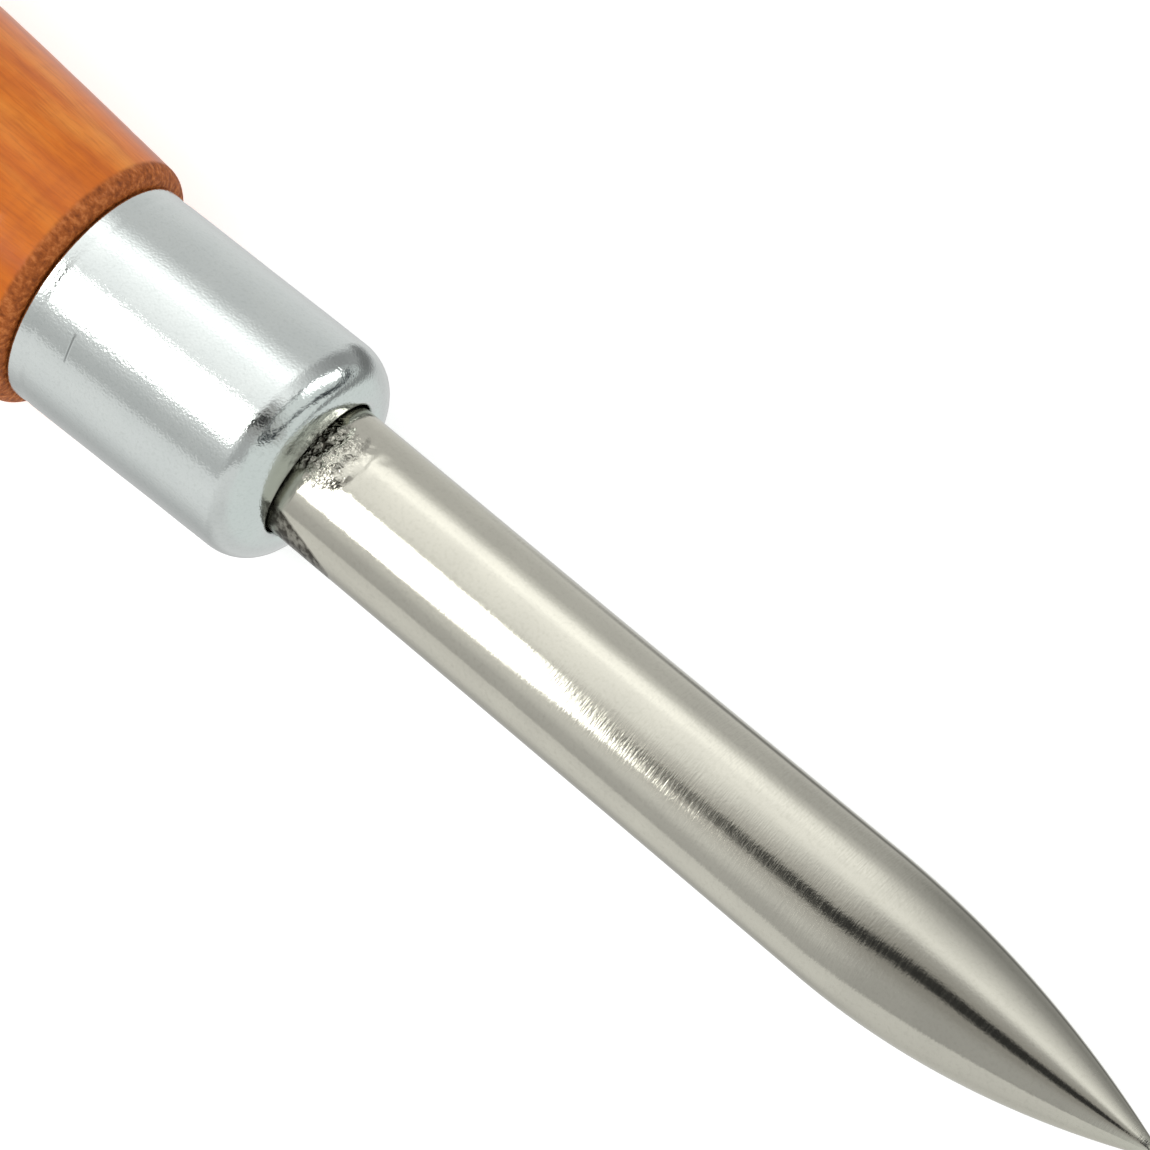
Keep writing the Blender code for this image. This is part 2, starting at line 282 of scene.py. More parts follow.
    filled_grain = add(tree, "Bump", {"Distance": 0.000004, "Height": fibres})
    open_grain = {"Strength": ends, "Distance": 0.00008, "Height": pores, "Normal": filled_grain}
    brushed = add(tree, "TexNoise", {"Vector": place, "Scale": per_metre(1.6), "Detail": 3.0})
    look = {
        "Base Color": colour,
        "Roughness": add(tree, "MapRange", {"Value": ends, "To Min": 0.32, "To Max": 0.60}),
        "IOR": 1.5,
        "Specular IOR Level": 0.12,
        "Normal": add(tree, "Bump", open_grain),
        "Coat Weight": add(tree, "MapRange", {"Value": ends, "To Min": 0.36, "To Max": 0.05}),
        "Coat Roughness": 0.16,
        "Coat IOR": 1.5,
        "Coat Normal": add(tree, "Bump", {"Distance": 0.000016, "Height": brushed}),
    }
    tree.links.new(add(tree, "BsdfPrincipled", look), surface)
    return material


handle = lathe("handle", handle_profile(), HANDLE_SIDES, False, turning_marks)
handle.data.materials.append(stained_varnished_birch())
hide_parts("handle")
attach(handle, "root")


# Ferrule. A cup deep-drawn from mild steel sheet, pierced, its nose rolled over and turned back
# into the hole, then plated. The drawn sheet keeps a slight orange peel, and the pressing on left
# a nick and a burr at the rear rim.
FERRULE_LENGTH = NOSE_X
FERRULE_WALL = 0.0008
HOLE_RADIUS = 0.00392
LIP_RADIUS = 0.00040
LIP_CLOSING = 0.00075  # how much further in the lip is pressed over the blade's broad faces
NOSE_LENGTH = 0.0023
RIM_ROUNDING = 0.00018
FERRULE_SIDES = 256


def ferrule_profile():
    """The ferrule's half section: up the outside, over the nose into the hole, and back inside."""
    crest = HOLE_RADIUS + LIP_RADIUS
    nose_from = FERRULE_LENGTH - NOSE_LENGTH
    inner_radius = FERRULE_RADIUS - FERRULE_WALL
    points = [(0.0, inner_radius)]
    points += arc((RIM_ROUNDING, FERRULE_RADIUS - RIM_ROUNDING), (RIM_ROUNDING, RIM_ROUNDING), 180, 90, 6)
    barrel = nose_from - RIM_ROUNDING
    points += [(RIM_ROUNDING + barrel * step / 160, FERRULE_RADIUS) for step in range(1, 160)]
    points += arc((nose_from, crest), (NOSE_LENGTH, FERRULE_RADIUS - crest), 90, 0, 48)
    points += arc((FERRULE_LENGTH - LIP_RADIUS, crest), (LIP_RADIUS, LIP_RADIUS), 0, -90, 24)[1:]
    inner_crest = crest + 0.00002
    points.append((FERRULE_LENGTH - LIP_RADIUS - 0.00002, inner_crest - 0.0001))
    inside = (NOSE_LENGTH - FERRULE_WALL, inner_radius - inner_crest)
    points += arc((nose_from, inner_crest), inside, 0, 90, 12)
    return points


def press_marks(x, radius, angle):
    """The burr at the rim, the drawn sheet's unevenness and the lip's closing on the blade."""
    if x < 0.00001:
        return 0.0
    groove = 0.000025 * math.exp(-(((x - 0.0009) / 0.00022) ** 2))
    burr = 0.00004 * math.exp(-((x / 0.00045) ** 2)) - groove
    uneven = 0.000012 * noise.noise(Vector((x * 350, math.cos(angle) * 1.7, math.sin(angle) * 1.7)))
    if x < FERRULE_LENGTH - NOSE_LENGTH:
        return burr + uneven
    inward = (FERRULE_RADIUS - radius) / (FERRULE_RADIUS - HOLE_RADIUS - LIP_RADIUS)
    return uneven - LIP_CLOSING * min(1.0, max(0.0, inward)) ** 3 * math.cos(angle) ** 2


def bright_plated_sheet():
    """Bright plating over drawn sheet: a cool mirror broken up by the sheet's orange peel."""
    material, tree, surface = new_material("bright-plated sheet steel")
    place = on_the_tool(tree)
    peel = add(tree, "TexNoise", {"Vector": place, "Scale": per_metre(0.14), "Detail": 2.0})
    line_size = (per_metre(3), per_metre(0.25), per_metre(0.25))
    drawn_at = add(tree, "Mapping", {"Vector": place, "Scale": line_size})
    drawn = add(tree, "TexNoise", {"Vector": drawn_at, "Scale": 1.0, "Detail": 2.0})
    bloom = add(tree, "TexNoise", {"Vector": place, "Scale": per_metre(1.8), "Detail": 4.0})
    peeled = add(tree, "Bump", {"Distance": 0.0000110, "Height": peel})
    lined = add(tree, "Bump", {"Distance": 0.0000020, "Height": drawn, "Normal": peeled})

    # A slightly slanting nick 1.2 mm long, 3.1 mm from the rear rim, where the press caught it.
    x = add(tree, "SeparateXYZ", {"Vector": place}, "X")
    y = add(tree, "SeparateXYZ", {"Vector": place}, "Y")
    z = add(tree, "SeparateXYZ", {"Vector": place}, "Z")
    slanted = add(tree, "Math", {0: y, 1: 0.1, 2: x}, operation="MULTIPLY_ADD")
    off_line = add(tree, "Math", {0: slanted, 1: 0.00277}, operation="SUBTRACT")
    off_end = add(tree, "Math", {0: y, 1: 0.0033}, operation="ADD")
    line_away = {"Value": add(tree, "Math", {0: off_line}, operation="ABSOLUTE")}
    end_away = {"Value": add(tree, "Math", {0: off_end}, operation="ABSOLUTE")}
    line = add(tree, "MapRange", line_away | {"From Min": 0.00010, "From Max": 0.00003})
    length = add(tree, "MapRange", end_away | {"From Min": 0.00072, "From Max": 0.00050})
    whole_line = add(tree, "Math", {0: line, 1: length}, operation="MULTIPLY")
    facing_up = add(tree, "Math", {0: z, 1: 0.0}, operation="GREATER_THAN")
    nick = add(tree, "Math", {0: whole_line, 1: facing_up}, operation="MULTIPLY")
    nicked = add(tree, "Bump", {"Distance": 0.00003, "Height": nick, "Normal": lined}, invert=True)

    mist = add(tree, "TexNoise", {"Vector": place, "Scale": per_metre(0.18), "Detail": 4.0})
    misted = add(tree, "MapRange", {"Value": mist, "From Min": 0.50, "From Max": 0.72, "To Max": 0.19})
    bright = {"Factor": bloom, "A": linear("#d3d9d7"), "B": linear("#dde2df")}
    clear = add(tree, "Mix", bright, "Result", data_type="RGBA")
    plated_parts = {"Factor": misted, "A": clear, "B": linear("#b2b8b4")}
    plated = add(tree, "Mix", plated_parts, "Result", data_type="RGBA")
    # Painted shade: the nick's groove is darkened in the colour.
    nick_shade_share = add(tree, "Math", {0: nick, 1: 0.5}, operation="MULTIPLY")
    nick_shade_parts = {"Factor": nick_shade_share, "A": plated, "B": linear("#3b3d3b")}
    rough_range = {"Value": bloom, "From Min": 0.3, "From Max": 0.7, "To Min": 0.07, "To Max": 0.13}
    look = {
        "Base Color": add(tree, "Mix", nick_shade_parts, "Result", data_type="RGBA"),
        "Metallic": 1.0,
        "Roughness": add(tree, "MapRange", rough_range),
        "Normal": nicked,
    }
    tree.links.new(add(tree, "BsdfPrincipled", look), surface)
    return material


ferrule = lathe("ferrule", ferrule_profile(), FERRULE_SIDES, True, press_marks)
ferrule.data.materials.append(bright_plated_sheet())
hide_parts("ferrule")
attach(ferrule, "root")


# Blade. One drop forging in carbon steel, flattened to an oval and drawn down to a point, with a
# square tang that is driven into the handle. It was ground across and buffed, and the nickel over
# that is bright and a little warm. Scale left wrinkles in it close to the ferrule.
BLADE_LENGTH = 0.0561
BLADE_HALF_WIDTH = 0.0040
BLADE_BASE_HALF_WIDTH = 0.00385
BLADE_HALF_THICKNESS = 0.0027
POINT_LENGTH = 0.0198
SHANK_LENGTH = BLADE_LENGTH - POINT_LENGTH
THINNED_LENGTH = 0.0400
THINNING_ONSET = 1.5
THINNING = 0.35
THICKNESS_CLOSING = 0.65
TIP_RADIUS = 0.00035
TIP_SLOPE = math.radians(22)
BLADE_LEAN = 0.0287
TIP_RETURN = 0.0006
TANG_HALF_WIDTH = 0.0024
TANG_HALF_THICKNESS = 0.0020
BLADE_SIDES = 240


def blade_half_width(s):
    """Half the blade's width at s in front of the ferrule, before the ball of the tip."""
    if s < SHANK_LENGTH:
        swell = (max(s, 0.0) / SHANK_LENGTH) ** 1.5
        return BLADE_BASE_HALF_WIDTH + (BLADE_HALF_WIDTH - BLADE_BASE_HALF_WIDTH) * swell
    run_to_ball = POINT_LENGTH - TIP_RADIUS + TIP_RADIUS * math.sin(TIP_SLOPE)
    full_run = run_to_ball / math.sqrt(1.0 - TIP_RADIUS * math.cos(TIP_SLOPE) / BLADE_HALF_WIDTH)
    return BLADE_HALF_WIDTH * (1.0 - ((s - SHANK_LENGTH) / full_run) ** 2)


def blade_half_thickness(s):
    """Half the blade's thickness at s, thinned by grinding towards the tip."""
    ground = max(0.0, 1.0 - (BLADE_LENGTH - s) / THINNED_LENGTH) ** THINNING_ONSET
    closing = blade_half_width(s) / BLADE_HALF_WIDTH if s > SHANK_LENGTH else 1.0
    return BLADE_HALF_THICKNESS * (1.0 - THINNING * ground) * closing**THICKNESS_CLOSING


def blade_middle(s):
    """Sideways place of the blade's middle: it leans, and its point comes back a little."""
    point = max(0.0, 1.0 - (BLADE_LENGTH - s) / POINT_LENGTH)
    return -BLADE_LEAN * max(s, 0.0) + TIP_RETURN * point**2


def scale_wrinkles(s, angle):
    """Height of the wrinkles that forging scale left on the upper face beside the ferrule."""
    WRINKLE = 0.00050
    DEEPEST = 0.000085
    near_base = math.exp(-(((s - 0.0014) / 0.0017) ** 2))
    upper_side = math.exp(-(((angle - math.radians(66)) / math.radians(27)) ** 2))
    place = Vector((s / WRINKLE, angle * BLADE_BASE_HALF_WIDTH / WRINKLE / 1.6, 3.7))
    return DEEPEST * near_base * upper_side * noise.noise(place)


def blade_ring(x, middle, half_width, half_thickness, power=2.0, relief=None):
    """A ring of points round the blade: an ellipse, or a rounded square where the power is high."""
    ring = []
    for side in range(BLADE_SIDES):
        angle = 2 * math.pi * side / BLADE_SIDES
        across, up = math.cos(angle), math.sin(angle)
        y = half_width * math.copysign(abs(across) ** (2 / power), across)
        z = half_thickness * math.copysign(abs(up) ** (2 / power), up)
        if relief:
            swell = 1.0 + relief(x - NOSE_X, angle) / half_thickness
            y, z = y * swell, z * swell
        ring.append(Vector((x, middle + y, z)))
    return ring


def skin(name, rings, tip):
    """Skins a row of rings, closed by a flat end at the first and a tip after the last."""
    mesh = bmesh.new()
    corners = [[mesh.verts.new(point) for point in ring] for ring in rings]
    sides = len(rings[0])
    for ring, following in zip(corners, corners[1:]):
        for side in range(sides):
            onward = (side + 1) % sides
            mesh.faces.new((ring[side], ring[onward], following[onward], following[side]))
    mesh.faces.new(corners[0])
    apex = mesh.verts.new(tip)
    for side in range(sides):
        mesh.faces.new((corners[-1][side], corners[-1][(side + 1) % sides], apex))
    return laid_down(name, mesh, 50)


def blade_rings():
    """The rings of the tang, its shoulder, the shank and the point, in order."""
    root = NOSE_X - BLADE_SEAT
    rings = []
    for share, size in ((1.0, 0.25), (0.953, 0.5), (0.0, 1.0)):
        x = root - TANG_LENGTH * share
        rings.append(blade_ring(x, 0.0, TANG_HALF_WIDTH * size, TANG_HALF_THICKNESS * size, 5.0))
    rings.append(blade_ring(root, 0.0, BLADE_BASE_HALF_WIDTH, BLADE_HALF_THICKNESS))

    FINE_STRETCH = 0.0085  # where the wrinkles need close rings
    fine = [-0.001 + FINE_STRETCH * step / 130 for step in range(131)]
    ball_start = BLADE_LENGTH - TIP_RADIUS + TIP_RADIUS * math.sin(TIP_SLOPE)
    plain = [fine[-1] + (ball_start - fine[-1]) * step / 240 for step in range(1, 241)]
    for s in fine + plain:
        size = (blade_half_width(s), blade_half_thickness(s))
        rings.append(blade_ring(NOSE_X + s, blade_middle(s), *size, relief=scale_wrinkles))

    flatness = blade_half_thickness(ball_start) / blade_half_width(ball_start)
    for step in range(1, 8):
        angle = TIP_SLOPE + (math.pi / 2 - TIP_SLOPE) * step / 8
        s = BLADE_LENGTH - TIP_RADIUS + TIP_RADIUS * math.sin(angle)
        radius = TIP_RADIUS * math.cos(angle)
        rings.append(blade_ring(NOSE_X + s, blade_middle(s), radius, radius * flatness))
    return rings


def nickel_plated_steel():
    """Buffed nickel over ground steel: a warm bright mirror, with dark scale and painted shade at its base.
    """
    material, tree, surface = new_material("nickel-plated steel")
    place = on_the_tool(tree)
    x = add(tree, "SeparateXYZ", {"Vector": place}, "X")
    y = add(tree, "SeparateXYZ", {"Vector": place}, "Y")
    z = add(tree, "SeparateXYZ", {"Vector": place}, "Z")

    # Polishing marks run round the blade: 0.09 mm apart along it and about 1.2 mm long.
    across = (per_metre(0.09), per_metre(1.2), per_metre(1.2))
    marks_at = add(tree, "Mapping", {"Vector": place, "Scale": across})
    marks = add(tree, "TexNoise", {"Vector": marks_at, "Scale": 1.0, "Detail": 3.0})

    # The buffing wheel left faint waves 2 mm across, and the plating has a fine orange peel.
    waves = add(tree, "TexNoise", {"Vector": place, "Scale": per_metre(2.2), "Detail": 1.0})
    peel = add(tree, "TexNoise", {"Vector": place, "Scale": per_metre(0.16), "Detail": 2.0})
    waved = add(tree, "Bump", {"Distance": 0.0000040, "Height": waves})
    peeled = add(tree, "Bump", {"Distance": 0.0000022, "Height": peel, "Normal": waved})
    marked = add(tree, "Bump", {"Distance": 0.0000022, "Height": marks, "Normal": peeled})

    # Scale pitted the upper face in the first 3 mm, too close to the ferrule for the wheel.
    close_in = {"Value": x, "From Min": NOSE_X + 0.0028, "From Max": NOSE_X + 0.0005}
    near_ferrule = add(tree, "MapRange", close_in, interpolation_type="SMOOTHSTEP")
    off_middle = add(tree, "Math", {0: y, 1: 0.0008}, operation="SUBTRACT")
    aside = add(tree, "Math", {0: off_middle}, operation="ABSOLUTE")
    patch_sides = {"Value": aside, "From Min": 0.0021, "From Max": 0.0009}
    patch_width = add(tree, "MapRange", patch_sides, interpolation_type="SMOOTHSTEP")
    on_top = add(tree, "Math", {0: z, 1: 0.0}, operation="GREATER_THAN")
    patch = add(tree, "Math", {0: near_ferrule, 1: patch_width}, operation="MULTIPLY")
    pitted = add(tree, "Math", {0: patch, 1: on_top}, operation="MULTIPLY")
    pits = add(tree, "TexNoise", {"Vector": place, "Scale": per_metre(0.42), "Detail": 3.0})
    deep_pits = add(tree, "Math", {0: pits, 1: pitted}, operation="MULTIPLY")
    wrinkled = add(tree, "Bump", {"Distance": 0.00030, "Height": deep_pits, "Normal": marked})
    dark_pits = add(tree, "MapRange", {"Value": pits, "From Min": 0.45, "From Max": 0.36, "To Max": 0.8})
    # Painted shade: within 1 mm of the ferrule the patch darkens further, for the shade of its hole.
    ferrule_shade_span = {"Value": x, "From Min": NOSE_X + 0.0010, "From Max": NOSE_X + 0.0001, "To Max": 0.5}
    ferrule_shade_near = add(tree, "MapRange", ferrule_shade_span)
    pits_and_ferrule_shade = add(tree, "Math", {0: dark_pits, 1: ferrule_shade_near}, operation="ADD", use_clamp=True)
    upper_scale_and_shade = add(tree, "Math", {0: pits_and_ferrule_shade, 1: pitted}, operation="MULTIPLY")

    # Painted shade: a dark wedge tapers away along the lower edge, lightened in patches by noise.
    slant = add(tree, "Math", {0: x, 1: -0.27, 2: 0.27 * NOSE_X - 0.00274}, operation="MULTIPLY_ADD")
    past_slant = add(tree, "Math", {0: slant, 1: y}, operation="SUBTRACT")
    wedge_edge = add(tree, "MapRange", {"Value": past_slant, "From Min": 0.0, "From Max": 0.00012})
    wedge_end = add(tree, "Math", {0: x, 1: NOSE_X + 0.0040}, operation="LESS_THAN")
    wedge = add(tree, "Math", {0: wedge_edge, 1: wedge_end}, operation="MULTIPLY")
    # Painted shade: the first half millimetre of the blade is darkened all round, where it enters the
    # ferrule.
    ferrule_shade_range = {"Value": x, "From Min": NOSE_X + 0.0005, "From Max": NOSE_X, "To Max": 0.45}
    corner = add(tree, "MapRange", ferrule_shade_range)
    mottled_wedge_shade = add(tree, "MapRange", {"Value": pits, "From Min": 0.62, "From Max": 0.42, "To Min": 0.55})
    wedge_shade = add(tree, "Math", {0: wedge, 1: mottled_wedge_shade}, operation="MULTIPLY")
    wedge_and_ferrule_shade = add(tree, "Math", {0: wedge_shade, 1: corner}, operation="MAXIMUM")
    # The dark mix carries real scale pits and painted shade together.
    scale_and_shade = add(tree, "Math", {0: upper_scale_and_shade, 1: wedge_and_ferrule_shade}, operation="MAXIMUM")

    bright = {"Factor": waves, "A": linear("#cfcdc0"), "B": linear("#c6c4b8")}
    clear = add(tree, "Mix", bright, "Result", data_type="RGBA")
    mist = add(tree, "TexNoise", {"Vector": place, "Scale": per_metre(0.22), "Detail": 5.0})
    misted = add(tree, "MapRange", {"Value": mist, "From Min": 0.50, "From Max": 0.72, "To Max": 0.19})
    nickel_parts = {"Factor": misted, "A": clear, "B": linear("#aeaca0")}
    nickel = add(tree, "Mix", nickel_parts, "Result", data_type="RGBA")
    scale_and_shade_parts = {"Factor": scale_and_shade, "A": nickel, "B": linear("#49463f")}
    colour = add(tree, "Mix", scale_and_shade_parts, "Result", data_type="RGBA")
    rough_range = {"Value": marks, "From Min": 0.3, "From Max": 0.75, "To Min": 0.05, "To Max": 0.13}
    buffed = add(tree, "MapRange", rough_range)
    rough = add(tree, "Math", {0: scale_and_shade, 1: 0.25, 2: buffed}, operation="MULTIPLY_ADD")
    look = {"Base Color": colour, "Metallic": 1.0, "Roughness": rough, "Normal": wrinkled}
    tree.links.new(add(tree, "BsdfPrincipled", look), surface)
    return material


blade = skin("blade", blade_rings(), (NOSE_X + BLADE_LENGTH, blade_middle(BLADE_LENGTH), 0.0))
blade.data.materials.append(nickel_plated_steel())
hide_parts("blade")
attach(blade, "root")


# Table. A plain pale sheet that runs out of sight on every side. It lies just under the round
# surfaces, which reach a few hundredths of a millimetre lower than the flat-sided solids.
TABLE_RADIUS = 7.0
lowest = min(0.0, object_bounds()[0][2])


def lit_white_sheet():
    """A matt white sheet, lit a little from below so that nothing on it throws a hard shadow."""
    material, tree, surface = new_material("matt white acrylic sheet")
    place = add(tree, "TexCoord", {}, "Object")
    tooth = add(tree, "TexNoise", {"Vector": place, "Scale": per_metre(0.6), "Detail": 2.0})
    look = {
        "Base Color": linear("#f4f4f2"),
        "Roughness": 0.9,
        "Specular IOR Level": 0.1,
        "Normal": add(tree, "Bump", {"Strength": 0.2, "Distance": 0.00002, "Height": tooth}),
        "Emission Color": linear("#ffffff"),
        "Emission Strength": 0.50,
    }
    tree.links.new(add(tree, "BsdfPrincipled", look), surface)
    return material


table_mesh = bmesh.new()
bmesh.ops.create_circle(table_mesh, cap_ends=True, segments=96, radius=TABLE_RADIUS)
table_data = bpy.data.meshes.new("table")
table_mesh.to_mesh(table_data)
table_mesh.free()
table = bpy.data.objects.new("table", table_data)
table.location.z = lowest
bpy.context.scene.collection.objects.link(table)
table.data.materials.append(lit_white_sheet())
table.visible_glossy = False


# Light. The tool lies in a white light tent, a large sphere that only polished surfaces see: soft
# panels above and beside the tool, and a slit that the camera looks through. World light and one
# large lamp stand for what the same tent gives to wood and paper.
TENT_RADIUS = 0.25
CAMERA_ROUND = math.radians(4.5)  # how far the camera is turned round the tool's axis, towards -y
CAMERA_AHEAD = math.radians(20)  # how far it is moved from square-on towards the point
square_on = upwards * math.cos(CAMERA_ROUND) - sideways * math.sin(CAMERA_ROUND)


def tent_light():
    """Cloth lit from outside. Angles run round the tool, from the camera's side towards -y."""
    material, tree, surface = new_material("lit tent cloth")
    place = add(tree, "TexCoord", {}, "Object")
    x = add(tree, "SeparateXYZ", {"Vector": place}, "X")
    y = add(tree, "SeparateXYZ", {"Vector": place}, "Y")
    z = add(tree, "SeparateXYZ", {"Vector": place}, "Z")
    radians = add(tree, "Math", {0: y, 1: z}, operation="ARCTAN2")
    turn = add(tree, "Math", {0: radians, 1: -180 / math.pi}, operation="MULTIPLY")
    ahead = add(tree, "Math", {0: x, 1: TENT_RADIUS * math.sin(CAMERA_AHEAD)}, operation="ADD")

    # The seams on the -y side run together towards the front.
    gathered = {"Value": ahead, "From Min": 0.025, "From Max": 0.116, "To Min": 1.0, "To Max": 1.62}
    gathering = add(tree, "MapRange", gathered)
    this_side = add(tree, "Math", {0: turn, 1: 0.0}, operation="MAXIMUM")
    far_side = add(tree, "Math", {0: turn, 1: 0.0}, operation="MINIMUM")
    seam_turn = add(tree, "Math", {0: this_side, 1: gathering, 2: far_side}, operation="MULTIPLY_ADD")
    share = add(tree, "Math", {0: seam_turn, 1: 1 / 360, 2: 0.5}, operation="MULTIPLY_ADD")

    def panels(lights):
        """Brightness of the cloth from (angle, light) pairs."""
        stops = [((angle + 180) / 360, (light / 2, light / 2, light / 2, 1.0)) for angle, light in lights]
        return add(tree, "ValToRGB", {"Fac": share}, stops=stops)

    # Beside the ferrule the cloth is brightest; past the point it hangs in shade.
    bright_end = [(-180, 0.60), (-140, 0.82), (-118, 0.78), (-95, 0.69), (-72, 0.68), (-62, 0.96)]
    bright_end += [(-54, 1.52), (-45, 1.68), (-38, 1.36), (-25, 1.22), (-14, 1.14), (-5, 0.98), (29, 0.92)]
    bright_end += [(37, 0.80), (46, 0.62), (63, 0.56), (66, 0.84), (86, 0.90), (106, 0.84)]
    bright_end += [(120, 0.68), (135, 0.55), (180, 0.60)]
    shaded_end = [(-180, 0.75), (-145, 0.70), (-125, 0.40), (-95, 0.33), (-72, 0.46), (-56, 0.72)]
    shaded_end += [(-44, 0.94), (-33, 1.16), (-28, 1.06), (-21, 0.62), (-10, 0.46), (12, 0.42)]
    shaded_end += [(20, 0.50), (58, 0.50)]
    shaded_end += [(64, 0.46), (68, 0.82), (120, 0.78), (150, 0.72), (180, 0.75)]
    shade = add(tree, "MapRange", {"Value": ahead, "From Min": 0.030, "From Max": 0.070})
    ends = {"Factor": shade, "A": panels(bright_end), "B": panels(shaded_end)}
    two_ends = add(tree, "Mix", ends, "Result", data_type="RGBA")
    front_wall = add(tree, "MapRange", {"Value": ahead, "From Min": 0.145, "From Max": 0.200})
    cloth_parts = {"Factor": front_wall, "A": two_ends, "B": (0.40, 0.415, 0.41, 1.0)}
    cloth = add(tree, "Mix", cloth_parts, "Result", data_type="RGBA")

    # A seam in the cloth shows as a dark line along the far edge of the blade.
    from_seam = add(tree, "Math", {0: turn, 1: 133.0}, operation="ADD")
    off_seam = add(tree, "Math", {0: from_seam}, operation="ABSOLUTE")
    seam_width = add(tree, "MapRange", {"Value": off_seam, "From Min": 14.0, "From Max": 5.0})
    seam_rise = {"Value": ahead, "From Min": 0.010, "From Max": 0.030, "To Max": 0.75}
    seam_start = add(tree, "MapRange", seam_rise)
    seam = add(tree, "Math", {0: seam_width, 1: seam_start}, operation="MULTIPLY")
    seam_parts = {"Factor": seam, "A": cloth, "B": (0.06, 0.06, 0.06, 1.0)}
    with_seam = add(tree, "Mix", seam_parts, "Result", data_type="RGBA")

    # A softbox hangs beside the camera. Its front edge isn't square to the tool, and it narrows.
    bend = add(tree, "Math", {0: ahead, 1: -260.0, 2: 260.0 * 0.064}, operation="MULTIPLY_ADD")
    slit_middle = add(tree, "Math", {0: bend, 1: -4.0}, operation="MAXIMUM")
    aside = add(tree, "Math", {0: turn, 1: slit_middle}, operation="SUBTRACT")
    off_slit = add(tree, "Math", {0: aside}, operation="ABSOLUTE")
    gloom_width = add(tree, "MapRange", {"Value": off_slit, "From Min": 24.0, "From Max": 6.0})
    gloom_rise = {"Value": ahead, "From Min": 0.010, "From Max": 0.028, "To Max": 0.55}
    gloom_start = add(tree, "MapRange", gloom_rise)
    gloom = add(tree, "Math", {0: gloom_width, 1: gloom_start}, operation="MULTIPLY")
    gloom_parts = {"Factor": gloom, "A": with_seam, "B": (0.16, 0.15, 0.14, 1.0)}
    shadowed = add(tree, "Mix", gloom_parts, "Result", data_type="RGBA")
    narrowing = add(tree, "Math", {0: ahead, 1: 0.0}, operation="MAXIMUM")
    inner_turn = add(tree, "Math", {0: narrowing, 1: 420.0, 2: turn}, operation="MULTIPLY_ADD")
    skewed = add(tree, "Math", {0: turn, 1: -0.00042, 2: ahead}, operation="MULTIPLY_ADD")
    outer_edge = add(tree, "MapRange", {"Value": turn, "From Min": -5.0, "From Max": -3.0})
    inner_edge = add(tree, "MapRange", {"Value": inner_turn, "From Min": 30.0, "From Max": 28.5})
    front_edge = add(tree, "MapRange", {"Value": skewed, "From Min": 0.0172, "From Max": 0.0157})
    band = add(tree, "Math", {0: outer_edge, 1: inner_edge}, operation="MULTIPLY")
    softbox = add(tree, "Math", {0: band, 1: front_edge}, operation="MULTIPLY")
    box_parts = {"Factor": softbox, "A": shadowed, "B": (2.2, 2.2, 2.15, 1.0)}
    with_softbox = add(tree, "Mix", box_parts, "Result", data_type="RGBA")

    # The black slit that the camera looks through starts behind the softbox, in its own gloom.
    slit_width = add(tree, "MapRange", {"Value": off_slit, "From Min": 7.5, "From Max": 4.0})
    slit_start = add(tree, "MapRange", {"Value": ahead, "From Min": 0.018, "From Max": 0.046})
    slit_end = add(tree, "MapRange", {"Value": ahead, "From Min": 0.165, "From Max": 0.155})
    open_slit = add(tree, "Math", {0: slit_width, 1: slit_start}, operation="MULTIPLY")
    slit = add(tree, "Math", {0: open_slit, 1: slit_end}, operation="MULTIPLY")
    slit_parts = {"Factor": slit, "A": with_softbox, "B": (0.02, 0.02, 0.02, 1.0)}
    with_slit = add(tree, "Mix", slit_parts, "Result", data_type="RGBA")

    # In front of the point the door of the tent stands open, with a black hem and a bright gap.
    door_turn = add(tree, "Math", {0: turn, 1: 1 / 64, 2: 52 / 64}, operation="MULTIPLY_ADD")
    door_ahead = add(tree, "Math", {0: ahead, 1: 1 / 0.065, 2: -0.235 / 0.065}, operation="MULTIPLY_ADD")
    door_across = add(tree, "Math", {0: door_turn}, operation="ABSOLUTE")
    door_along = add(tree, "Math", {0: door_ahead}, operation="ABSOLUTE")
    turn_power = add(tree, "Math", {0: door_across, 1: 4.0}, operation="POWER")
    ahead_power = add(tree, "Math", {0: door_along, 1: 4.0}, operation="POWER")
    folds = add(tree, "TexNoise", {"Vector": place, "Scale": 30.0, "Detail": 2.0})
    uneven = add(tree, "Math", {0: folds, 1: 1.6, 2: -0.8}, operation="MULTIPLY_ADD")
    even_middle = add(tree, "Math", {0: turn_power, 1: ahead_power}, operation="ADD")
    from_middle = add(tree, "Math", {0: even_middle, 1: uneven}, operation="ADD")
    from_hem = add(tree, "Math", {0: from_middle, 1: 0.8}, operation="SUBTRACT")
    off_hem = add(tree, "Math", {0: from_hem}, operation="ABSOLUTE")
    hem = add(tree, "MapRange", {"Value": off_hem, "From Min": 0.42, "From Max": 0.25})
    hem_parts = {"Factor": hem, "A": with_slit, "B": (0.02, 0.022, 0.025, 1.0)}
    with_hem = add(tree, "Mix", hem_parts, "Result", data_type="RGBA")
    from_gap = add(tree, "Math", {0: turn, 1: 75.0}, operation="ADD")
    gap_turn = add(tree, "Math", {0: from_gap}, operation="ABSOLUTE")
    gap_width = add(tree, "MapRange", {"Value": gap_turn, "From Min": 26.0, "From Max": 18.0})
    past_gap = add(tree, "Math", {0: ahead, 1: 0.205}, operation="SUBTRACT")
    gap_ahead = add(tree, "Math", {0: past_gap}, operation="ABSOLUTE")
    gap_length = add(tree, "MapRange", {"Value": gap_ahead, "From Min": 0.030, "From Max": 0.022})
    gap = add(tree, "Math", {0: gap_width, 1: gap_length}, operation="MULTIPLY")
    gap_parts = {"Factor": gap, "A": with_hem, "B": (2.0, 2.0, 2.0, 1.0)}
    with_gap = add(tree, "Mix", gap_parts, "Result", data_type="RGBA")
    tree.links.new(add(tree, "Emission", {"Color": with_gap, "Strength": 2.0}), surface)
    return material


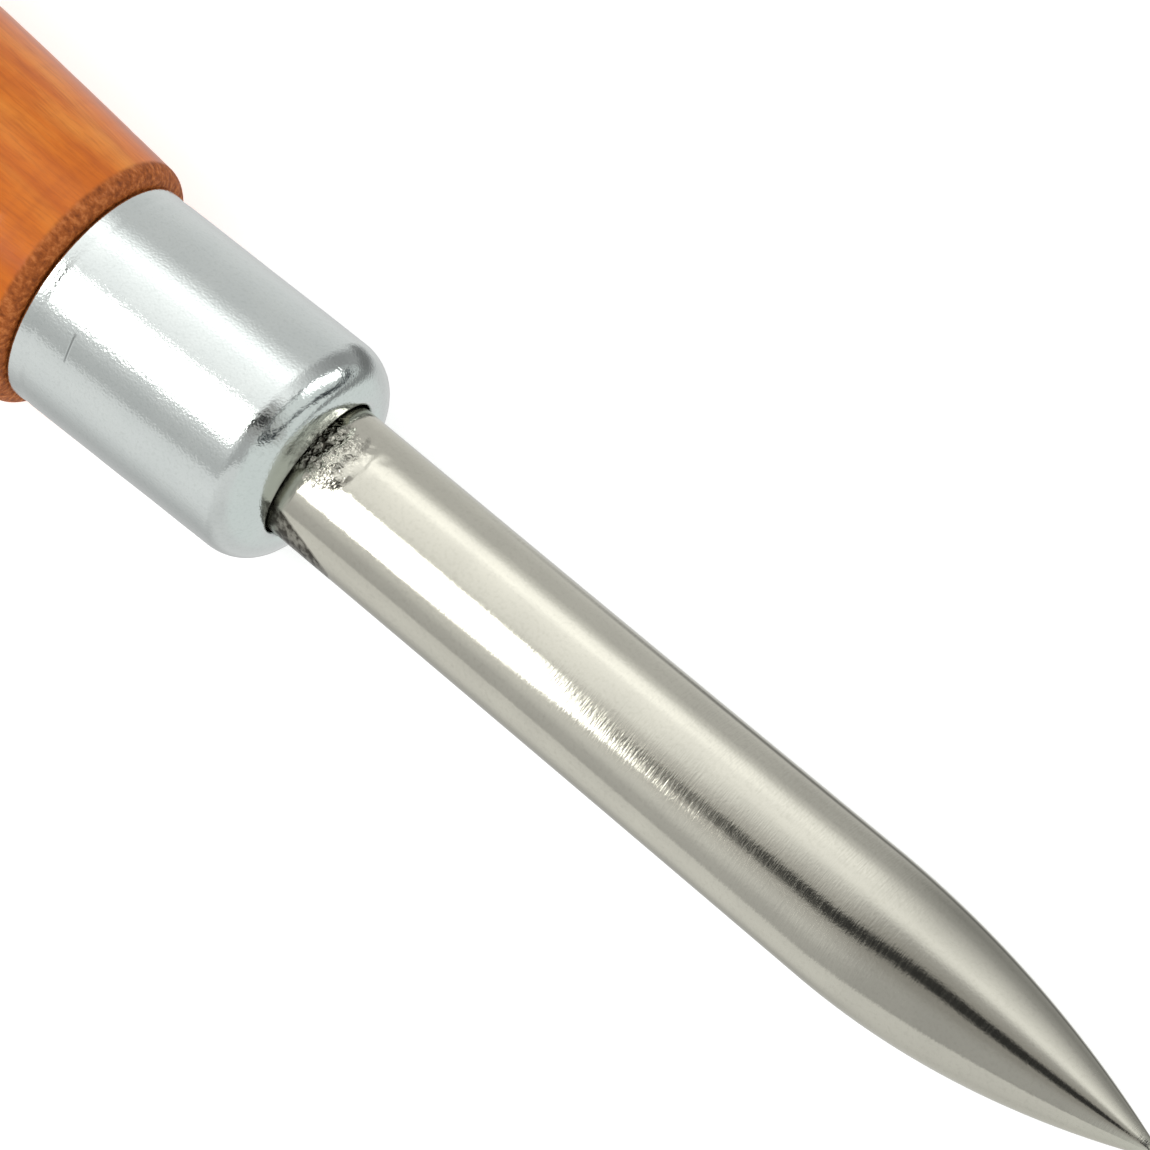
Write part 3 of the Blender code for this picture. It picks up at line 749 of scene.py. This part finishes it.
tent_mesh = bmesh.new()
bmesh.ops.create_uvsphere(tent_mesh, u_segments=64, v_segments=32, radius=TENT_RADIUS)
tent_data = bpy.data.meshes.new("tent")
tent_mesh.to_mesh(tent_data)
tent_mesh.free()
tent = bpy.data.objects.new("tent", tent_data)
bpy.context.scene.collection.objects.link(tent)
tent_middle = tool_axis @ Vector((NOSE_X, 0, 0))
tent_side = along.cross(square_on)
tent_turn = Matrix((along, -tent_side, square_on)).transposed().to_4x4()
tent.matrix_world = Matrix.Translation(tent_middle) @ tent_turn
tent.data.materials.append(tent_light())
tent.visible_camera = False
tent.visible_diffuse = False
tent.visible_shadow = False
tent.visible_transmission = False

world = bpy.data.worlds.new("tent light")
world.use_nodes = True
world.node_tree.nodes["Background"].inputs["Color"].default_value = linear("#fbfdff")
world.node_tree.nodes["Background"].inputs["Strength"].default_value = 0.85
bpy.context.scene.world = world

lamp_data = bpy.data.lights.new("overhead lamp", "AREA")
lamp_data.shape = "DISK"
lamp_data.size = 0.5
lamp_data.energy = 2.0
lamp = bpy.data.objects.new("overhead lamp", lamp_data)
bpy.context.scene.collection.objects.link(lamp)
lamp_from = (upwards * 0.85 - along * 0.35 - sideways * 0.30).normalized()
lamp.location = tent_middle + lamp_from * 0.9
lamp.rotation_euler = lamp_from.to_track_quat("Z", "Y").to_euler()
lamp.visible_glossy = False
lamp.visible_camera = False


# Camera. A long lens above the point, which looks back along the tool and is rolled so that the
# tool runs from the upper left corner to the lower right one.
CAMERA_DISTANCE = 0.9
VIEW_WIDTH = 0.0571
AXIS_BELOW_LEVEL = math.radians(38.1)
NOSE_TO_MIDDLE = (0.01260, -0.00515)  # right and up, from the ferrule's front to the view's middle

towards_camera = along * math.sin(CAMERA_AHEAD) + square_on * math.cos(CAMERA_AHEAD)
axis_in_view = (along - along.dot(towards_camera) * towards_camera).normalized()
right = axis_in_view * math.cos(AXIS_BELOW_LEVEL)
right += towards_camera.cross(axis_in_view) * math.sin(AXIS_BELOW_LEVEL)
above = towards_camera.cross(right)
view_middle = tool_axis @ Vector((NOSE_X, 0, 0)) + right * NOSE_TO_MIDDLE[0] + above * NOSE_TO_MIDDLE[1]

camera_data = bpy.data.cameras.new("camera")
camera_data.sensor_width = 36
camera_data.lens = camera_data.sensor_width * CAMERA_DISTANCE / VIEW_WIDTH
camera_data.clip_end = 20
camera = bpy.data.objects.new("camera", camera_data)
bpy.context.scene.collection.objects.link(camera)
camera_place = view_middle + towards_camera * CAMERA_DISTANCE
camera_turn = Matrix((right, above, towards_camera)).transposed().to_4x4()
camera.matrix_world = Matrix.Translation(camera_place) @ camera_turn
bpy.context.scene.camera = camera
bpy.context.scene.view_settings.view_transform = "Standard"
